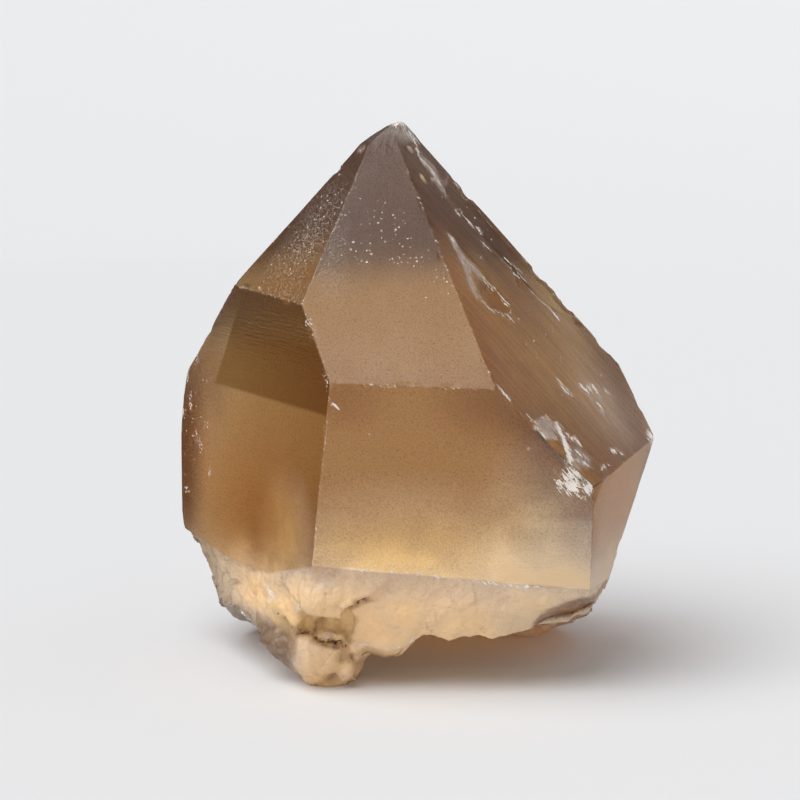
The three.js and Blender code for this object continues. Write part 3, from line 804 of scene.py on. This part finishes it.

# Darker and warmer patches in the skin's colour, each a colour to multiply by
CLEAR_SKIN = (1, 0.95, 0.86)
TINT_PATCHES = (
    ("side_left", -10, 30, 34, 26, (0.9, 0.55, 0.30)), ("side_left", -24, 34, 10, 22, (0.8, 0.55, 0.4)),
    ("side_front", 12, 46, 14, 8, (0.6, 0.5, 0.4)), ("side_front", -11, 46, 10, 7, (0.66, 0.5, 0.34)),
    ("point_right", 2, 60, 14, 16, (0.35, 0.22, 0.15)), ("point_right", -12, 55, 10, 14, (0.8, 0.62, 0.45)),
    ("side_right", 0, 28, 20, 30, (0.92, 0.75, 0.6)), ("point_front", 0, 54, 26, 14, (1, 0.92, 0.75)),
    ("side_front", 0, 30, 40, 30, (1, 0.92, 0.8)), ("side_left", 6, 24, 18, 16, (1, 0.8, 0.45)),
    ("side_front", 12, 44, 12, 8, (0.8, 0.7, 0.6)), ("side_front", 18, 30, 12, 14, (1, 0.92, 0.76)),
    ("point_front", -2, 74, 18, 18, (1, 0.84, 0.62)), ("point_right", -6, 74, 14, 14, (1, 0.86, 0.68)),
    ("side_left", -19, 47, 11, 15, (0.42, 0.3, 0.22)), ("side_left", -12, 22, 20, 14, (1, 0.78, 0.48)),
    ("side_front", -2, 24, 30, 12, (1, 0.9, 0.68)), ("point_left", 1, 60, 12, 8, (0.8, 0.6, 0.4)),
    ("point_right", -3, 56, 12, 14, (0.95, 0.84, 0.62)),
)
tint = np.ones(rows.shape) * CLEAR_SKIN
for *patch, patch_colour in TINT_PATCHES:
    tint *= 1 - cloud(*patch)[..., None] * (1 - np.array(patch_colour))

# and honey gold in the lens pit and along the right face's front edge
GOLDEN, GOLDEN_EDGE, GOLDEN_WIDE, GOLDEN_LEVEL = (0.85, 0.6, 0.32), 0.8, 5.0, 78.0
front_edge = hill(segment_distance(rows, tip[FRONT_RIGHT], belt[FRONT_RIGHT]) / GOLDEN_WIDE)
front_edge *= step(GOLDEN_LEVEL - z, soft=8.0)
golden = on_right * np.maximum(step(inside(down, inward, LENS_PIT), LENS_SOFT), GOLDEN_EDGE * front_edge)
tint *= 1 - golden[..., None] * (1 - np.array(GOLDEN))

# The white along the crisp edges, partly wear and partly a painted highlight, stops short of the tip
EDGE_WHITE_BELOW = 78.5
mark("edge", np.where(z > EDGE_WHITE_BELOW, FAR, edge))
mark("bruise_and_highlight", bruise_and_highlight)
mark("haze", haze)
mark("rust_and_crevice_shade", rust_and_crevice_shade)
mark("ochre", ochre)
mark("painted_back_image", painted_back_image)
mark("fading", fading)
mark("flecks", STRAY_FLECKS + clouds(FLECKED))
mark("sandy", clouds(SANDY))
mark("grainy", grainy)
mark("streaked", on_right.astype(float))
mark("stain_and_painted_shade", stain_and_painted_shade)
mark("ashen", ashen)
mark("milk", milk)
mark("painted_glow", clouds(PAINTED_GLOWS))
mark("broken", breaks.astype(float))
mark("side", np.broadcast_to((band_of == SIDE)[:, None], edge.shape).astype(float))
mark("tint", np.dstack([tint, np.ones(edge.shape)]), "FLOAT_COLOR", "color")

material = bpy.data.materials.new("citrine")
material.use_nodes = True
nodes, links = material.node_tree.nodes, material.node_tree.links
shader = nodes["Principled BSDF"]


def put(kind, *values, **settings):
    """A node with its settings, and its input sockets in order set to numbers or linked; its outputs."""
    new = nodes.new("ShaderNode" + kind)
    for key, value in settings.items():
        setattr(new, key, value)
    for socket, value in zip(new.inputs, values):
        if isinstance(value, bpy.types.NodeSocket):
            links.new(value, socket)
        elif value is not None:
            socket.default_value = value
    return new.outputs


def field(name):
    """A mark of the skin, by its name."""
    return put("Attribute", attribute_name=name)["Fac"]


def maths(operation, first, *others):
    """A sum in the shader: the first value, with each of the others brought in by one operation."""
    for other in others:
        first = put("Math", first, other, operation=operation)[0]
    return first


def times(*values):
    """The product of values."""
    return maths("MULTIPLY", *values)


def plus(*values):
    """The values added up."""
    return maths("ADD", *values)


def minus(first, second):
    """The first value less the second."""
    return maths("SUBTRACT", first, second)


def most(*values):
    """The largest of values."""
    return maths("MAXIMUM", *values)


def ramp(value, low, high, to_low=0.0, to_high=1.0):
    """A smooth rise from to_low to to_high while a value goes from low to high."""
    return put("MapRange", value, low, high, to_low, to_high, interpolation_type="SMOOTHSTEP")[0]


def mixed(share, first, second, blend_type="MIX"):
    """The colour that share of the way from first to second, or to the two multiplied."""
    new = nodes.new("ShaderNodeMix")
    new.data_type = "RGBA"
    new.blend_type = blend_type
    share_socket, first_socket, second_socket = new.inputs[0], new.inputs[6], new.inputs[7]
    for socket, value in ((share_socket, share), (first_socket, first), (second_socket, second)):
        if isinstance(value, bpy.types.NodeSocket):
            links.new(value, socket)
        else:
            socket.default_value = value
    return new.outputs[2]


def noise(size, detail=2.0):
    """Cloudy noise from 0 to 1, in patches of about a size in millimetres."""
    return put("TexNoise", in_mm, None, 1 / size, detail)["Fac"]


def stretched_noise(long, thin):
    """Noise drawn out down the right face's outer edge, in shreds of a length and a thickness."""
    turn = (0, np.arctan2(-down_edge[2], down_edge[0]), 0)
    size = (long * MM, thin * MM, thin * MM)
    place = put("Mapping", put("TexCoord")["Object"], None, turn, size, vector_type="TEXTURE")[0]
    return put("TexNoise", place, None, 1.0, 2.0)["Fac"]


# The noises: fine frost, dust and cloudy patches; splinters and streaks down the right face; level
# lines across the sides, as patches in each millimetre; and loose grains, one in each cell, each
# with three numbers of its own from 0 to 1
LINES_PER_MM = (0.2, 0.2, 3.0)
FROST_SIZE, DUST_SIZE, CLOUD_SIZE, GRAIN_CELL, MEAN = 0.26, 0.9, 6.0, 0.55, 0.5
in_mm = put("Mapping", put("TexCoord")["Object"], None, None, (1 / MM, 1 / MM, 1 / MM))[0]
sand = noise(FROST_SIZE, detail=3.0)
dust = noise(DUST_SIZE, detail=3.0)
cloudy = noise(CLOUD_SIZE)
fibre = stretched_noise(long=1.8, thin=0.26)
streaks = stretched_noise(long=7.0, thin=0.7)
level_place = put("Mapping", put("TexCoord")["Object"], None, None, tuple(n / MM for n in LINES_PER_MM))[0]
level_lines = put("TexNoise", level_place, None, 1.0, 2.0)["Fac"]
cells = put("TexVoronoi", in_mm, None, 1 / GRAIN_CELL)
lot, strength, breadth = put("SeparateColor", cells["Color"])

# How the noises are cut, here and below: where a ramp starts and ends, and what it gives there
FROST = (0.32, 0.68, 0.68, 1.14)
PIT_SHAPE, PIT_DARK = (0.34, 0.16), (0.62, 0.8, 0.0, 0.42)
STREAKS = (0.36, 0.64, 0.3, 0.0)
BACK_IMAGE_BROWN, BACK_IMAGE_STRONG = (0.27, 0.145, 0.035, 1), 0.93
BACK_IMAGE_GRAIN, BACK_IMAGE_EDGE = (0.2, 0.8, -0.3, 0.3), (-0.25, 0.35)

# The skin's colour is its tint, browner in the painted image of the back faces, and darkened by
# frost, pits and streaks
frost = plus(times(minus(sand, MEAN), field("grainy")), MEAN)
pits = times(ramp(cells["Distance"], *PIT_SHAPE), ramp(strength, *PIT_DARK), field("grainy"))
grain = times(ramp(frost, *FROST), minus(1.0, pits))
grain = times(grain, minus(1.0, times(field("streaked"), ramp(streaks, *STREAKS))))
back_image_share = times(field("fading"), ramp(plus(field("painted_back_image"), ramp(sand, *BACK_IMAGE_GRAIN)), *BACK_IMAGE_EDGE))
stained = put("Attribute", attribute_name="tint")["Color"]
colour = mixed(times(back_image_share, BACK_IMAGE_STRONG), stained, BACK_IMAGE_BROWN)
colour = mixed(1.0, colour, put("CombineColor", grain, grain, grain)[0], "MULTIPLY")

# Over it lie the painted glow, the milk, the ochre, the brown of stains and painted shade, and the
# sandy dust
PAINTED_GLOW_GOLD, PAINTED_GLOW_PATCHES = (1.0, 0.55, 0.11, 1), (0.3, 0.7, 0.75, 1.2)
MILK_WARM, MILK_ASHEN = (1.0, 0.645, 0.315, 1), (0.78, 0.56, 0.335, 1)
MILK_PATCHES, MILK_PATCHED = (0.25, 0.75, -0.12, 0.1), (0.0, 0.3)
OCHRE, OCHRE_DUST = (0.82, 0.56, 0.25, 1), (0.3, 0.6, 0.35, 1.0)
STAIN_AND_SHADE_BROWN, BROWN_DUST = (0.33, 0.18, 0.08, 1), (0.25, 0.6, 0.6, 1.0)
SAND_BEIGE, SANDED = (0.50, 0.36, 0.235, 1), (0.5, 0.66, 0.0, 0.5)
painted_glow_share = times(field("painted_glow"), ramp(cloudy, *PAINTED_GLOW_PATCHES))
colour = mixed(painted_glow_share, colour, PAINTED_GLOW_GOLD)
clouded = times(ramp(cloudy, *MILK_PATCHES), ramp(field("milk"), *MILK_PATCHED))
milk_share = most(plus(field("milk"), clouded), 0.0)
colour = mixed(milk_share, colour, mixed(field("ashen"), MILK_WARM, MILK_ASHEN))
ochre_share = times(field("ochre"), ramp(dust, *OCHRE_DUST))
colour = mixed(ochre_share, colour, OCHRE)
colour = mixed(times(field("stain_and_painted_shade"), ramp(dust, *BROWN_DUST)), colour, STAIN_AND_SHADE_BROWN)
sandy_share = times(field("sandy"), ramp(sand, *SANDED))
colour = mixed(sandy_share, colour, SAND_BEIGE)

# White flecks are the grains that are drawn, in clumps, with a size and a strength of their own
FLECK_CREAM = (0.85, 0.73, 0.60, 1)
CLUMPS, FLECK_DENSITY, DRAWN = (0.42, 0.62, 0.1, 1.0), 1.9, (0.0, -0.02)
FLECK_SMALLEST, FLECK_SPREAD, FLECK_EDGE, FLECK_STRENGTH = 0.12, 0.28, (0.07, -0.07), (0.0, 1.0, 0.3, 0.9)
chosen = ramp(minus(lot, times(field("flecks"), ramp(dust, *CLUMPS), FLECK_DENSITY)), *DRAWN)
fleck_size = plus(FLECK_SMALLEST, times(breadth, breadth, FLECK_SPREAD))
fleck_share = times(chosen, ramp(minus(cells["Distance"], fleck_size), *FLECK_EDGE))
fleck_share = times(fleck_share, ramp(strength, *FLECK_STRENGTH))
colour = mixed(fleck_share, colour, FLECK_CREAM)

# Edges, bruises and painted highlights are white and feathery, the edges' white partly wear and
# partly a painted highlight; haze is violet, and cracks are dark with rust and with painted shade
WEAR_AND_HIGHLIGHT_WHITE, HAZE_VIOLET, RUST_AND_SHADE_COLOUR = (1.0, 0.92, 0.83, 1), (0.62, 0.54, 0.56, 1), (0.22, 0.09, 0.025, 1)
EDGE_WEAR_AND_HIGHLIGHT_WIDE, EDGE_WEAR_AND_HIGHLIGHT_FIBRE = (0.5, 0.0), (0.56, 0.72, 0.0, 0.8)
FEATHER_SAND, FEATHERS_MEAN, FEATHERS, WHITE_MARK_EDGE = 0.5, 0.78, 3.2, (0.22, -0.22)
HAZE_SAND, HAZE_FEATHERS = 0.6, (0.6, 1.0, 0.1, 0.8)
CRACK_DUST, CRACK_EDGE = (0.25, 0.75, -0.3, 0.3), (0.2, -0.15)
worn_and_highlit_edges = times(ramp(field("edge"), *EDGE_WEAR_AND_HIGHLIGHT_WIDE), ramp(fibre, *EDGE_WEAR_AND_HIGHLIGHT_FIBRE))
feathers = times(minus(plus(fibre, times(sand, FEATHER_SAND)), FEATHERS_MEAN), FEATHERS)
bruise_and_highlight_share = ramp(plus(field("bruise_and_highlight"), feathers), *WHITE_MARK_EDGE)
white_share = most(worn_and_highlit_edges, bruise_and_highlight_share)
colour = mixed(white_share, colour, WEAR_AND_HIGHLIGHT_WHITE)
haze_share = times(field("haze"), ramp(plus(fibre, times(sand, HAZE_SAND)), *HAZE_FEATHERS))
colour = mixed(haze_share, colour, HAZE_VIOLET)
rust_and_shade_share = ramp(plus(field("rust_and_crevice_shade"), ramp(dust, *CRACK_DUST)), *CRACK_EDGE)
colour = mixed(rust_and_shade_share, colour, RUST_AND_SHADE_COLOUR)
links.new(colour, shader.inputs["Base Color"])

# Whatever lies in the skin is solid, and the rest is see-through; frost, splinters, bruises with
# the painted highlights, and level lines are its finest relief
WHITE_SOLID, RUST_AND_SHADE_SOLID, GOLD_SOLID = 0.92, 0.9, 0.9
QUARTZ_IOR, GLOSS, FROSTED, SHINIER = 1.544, 0.2, 0.38, 0.3
CREASE_SIZE, CREASE_DUST = 2.6, 0.25
FROST_RELIEF, CREASE_RELIEF, WHITE_MARK_RELIEF, LINE_RELIEF = 0.6, 9.0, 1.5, 0.9
BUMP_STRENGTH, BUMP_HEIGHT = 0.6, 0.14 * MM
solid = most(
    plus(milk_share, painted_glow_share), times(most(white_share, fleck_share), WHITE_SOLID), haze_share,
    times(rust_and_shade_share, RUST_AND_SHADE_SOLID), sandy_share, times(ochre_share, field("streaked"), GOLD_SOLID),
)
creases = put("Math", minus(noise(CREASE_SIZE), MEAN), operation="ABSOLUTE")[0]
creases = plus(creases, times(dust, CREASE_DUST))
relief = plus(
    times(sand, FROST_RELIEF), times(field("broken"), creases, CREASE_RELIEF),
    times(bruise_and_highlight_share, dust, WHITE_MARK_RELIEF), times(field("side"), level_lines, LINE_RELIEF),
)
links.new(minus(1.0, solid), shader.inputs["Transmission Weight"])
links.new(ramp(field("broken"), 0, 1, FROSTED, SHINIER), shader.inputs["Roughness"])
links.new(put("Bump", BUMP_STRENGTH, BUMP_HEIGHT, None, relief)[0], shader.inputs["Normal"])
shader.inputs["IOR"].default_value = QUARTZ_IOR
shader.inputs["Specular IOR Level"].default_value = GLOSS

# The clear stone takes blue, and then green, out of the light with depth
HONEY, DENSITY = (0.72, 0.46, 0.02, 1), 46.5
inside_stone = nodes.new("ShaderNodeVolumeAbsorption")
inside_stone.inputs["Color"].default_value = HONEY
inside_stone.inputs["Density"].default_value = DENSITY
links.new(inside_stone.outputs["Volume"], nodes["Material Output"].inputs["Volume"])
crystal.data.materials.append(material)

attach(crystal, "root")
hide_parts("citrine_crystal")


# The floor
# A pale round sheet of paper that the stone stands on. It rises slowly to its far edge all
# round, so that no horizon shows from any side.

FLOOR_RADIUS, DISH_RADIUS, DISH_RISE, FLOOR_COLUMNS, FLOOR_RINGS = 0.5, 3.0, 0.9, 96, 40
PAPER, PAPER_ROUGHNESS, PAPER_GLOSS = (0.82, 0.82, 0.825, 1), 0.9, 0.1


def dish_rows():
    """Rings of a turned surface: flat to the floor's radius, then rising as the square of the way out."""
    radius = DISH_RADIUS * np.arange(1, FLOOR_RINGS + 1)[:, None] / FLOOR_RINGS
    height = DISH_RISE * (np.clip(radius - FLOOR_RADIUS, 0, None) / (DISH_RADIUS - FLOOR_RADIUS)) ** 2
    angle = 2 * np.pi * np.arange(FLOOR_COLUMNS) / FLOOR_COLUMNS
    return np.stack(np.broadcast_arrays(radius * np.cos(angle), radius * np.sin(angle), height), axis=-1)


def plain_material(name, colour, roughness, gloss):
    """A material that is the same all over."""
    plain = bpy.data.materials.new(name)
    plain.use_nodes = True
    sockets = plain.node_tree.nodes["Principled BSDF"].inputs
    sockets["Base Color"].default_value = colour
    sockets["Roughness"].default_value = roughness
    sockets["Specular IOR Level"].default_value = gloss
    return plain


floor = bpy.data.objects.new("floor", ring_mesh("floor", dish_rows(), np.zeros(3)))
bpy.context.collection.objects.link(floor)
floor.data.materials.append(plain_material("pale paper", PAPER, PAPER_ROUGHNESS, PAPER_GLOSS))


# The daylight
# A faint even light from all round, and a wide soft window high up on the left, a little to
# the front.

SKY, SKY_STRENGTH = (0.95, 0.97, 1.0, 1), 0.34
WINDOW_POWER, WINDOW_WIDTH = 2.35, 60.0
WINDOW_FROM = (-0.43, -0.3, 0.86)


def turned_to(position, target):
    """The turn that points an object's -Z from position at target, with its +Y upward."""
    return (Vector(target) - Vector(position)).to_track_quat("-Z", "Y").to_euler()


world = bpy.data.worlds.new("studio")
world.use_nodes = True
world.node_tree.nodes["Background"].inputs["Color"].default_value = SKY
world.node_tree.nodes["Background"].inputs["Strength"].default_value = SKY_STRENGTH
bpy.context.scene.world = world

window = bpy.data.lights.new("window", "SUN")
window.energy = WINDOW_POWER
window.angle = np.radians(WINDOW_WIDTH)
window_stand = bpy.data.objects.new("window", window)
window_stand.rotation_euler = turned_to(WINDOW_FROM, (0, 0, 0))
bpy.context.collection.objects.link(window_stand)


# The dark card
# A folded card of black velvet, which lies on the floor at the left and behind and stands up at
# its far side. It only shows in the stone's gloss, where the paper would be too white.

CARD_LEFT, CARD_RIGHT, CARD_NEAR, CARD_FAR, CARD_HEIGHT = -0.35, -0.045, -0.03, 0.8, 0.5
VELVET, VELVET_ROUGHNESS, VELVET_GLOSS = (0.02, 0.018, 0.016, 1), 1.0, 0.5
card_mesh = bpy.data.meshes.new("dark_card")
card_mesh.from_pydata([
    (CARD_RIGHT, CARD_NEAR, MM), (CARD_RIGHT, CARD_FAR, MM), (CARD_LEFT, CARD_FAR, MM),
    (CARD_LEFT, CARD_NEAR, MM), (CARD_LEFT, CARD_FAR, CARD_HEIGHT), (CARD_LEFT, CARD_NEAR, CARD_HEIGHT),
], [], [(0, 1, 2, 3), (3, 2, 4, 5)])
card = bpy.data.objects.new("dark_card", card_mesh)
bpy.context.collection.objects.link(card)
card.visible_camera = card.visible_diffuse = card.visible_shadow = card.visible_transmission = False
card_mesh.materials.append(plain_material("black velvet", VELVET, VELVET_ROUGHNESS, VELVET_GLOSS))


# The camera
# It stands in front at 450 mm and looks down by nine degrees on the crystal's middle.

DISTANCE, ELEVATION, FIELD, SENSOR = 450.0, 9.1, 15.99, 36.0
LOOK = np.array((-2.0, 0.0, 40.9)) + shift
rise = np.radians(ELEVATION)
eye = LOOK + DISTANCE * np.array((0, -np.cos(rise), np.sin(rise)))
camera = bpy.data.cameras.new("camera")
camera.sensor_width = SENSOR
camera.lens = SENSOR / 2 / np.tan(np.radians(FIELD / 2))
viewer = bpy.data.objects.new("camera", camera)
viewer.location = (eye * MM).tolist()
viewer.rotation_euler = turned_to((eye * MM).tolist(), (LOOK * MM).tolist())
bpy.context.collection.objects.link(viewer)
bpy.context.scene.camera = viewer
bpy.context.scene.view_settings.view_transform = "Standard"
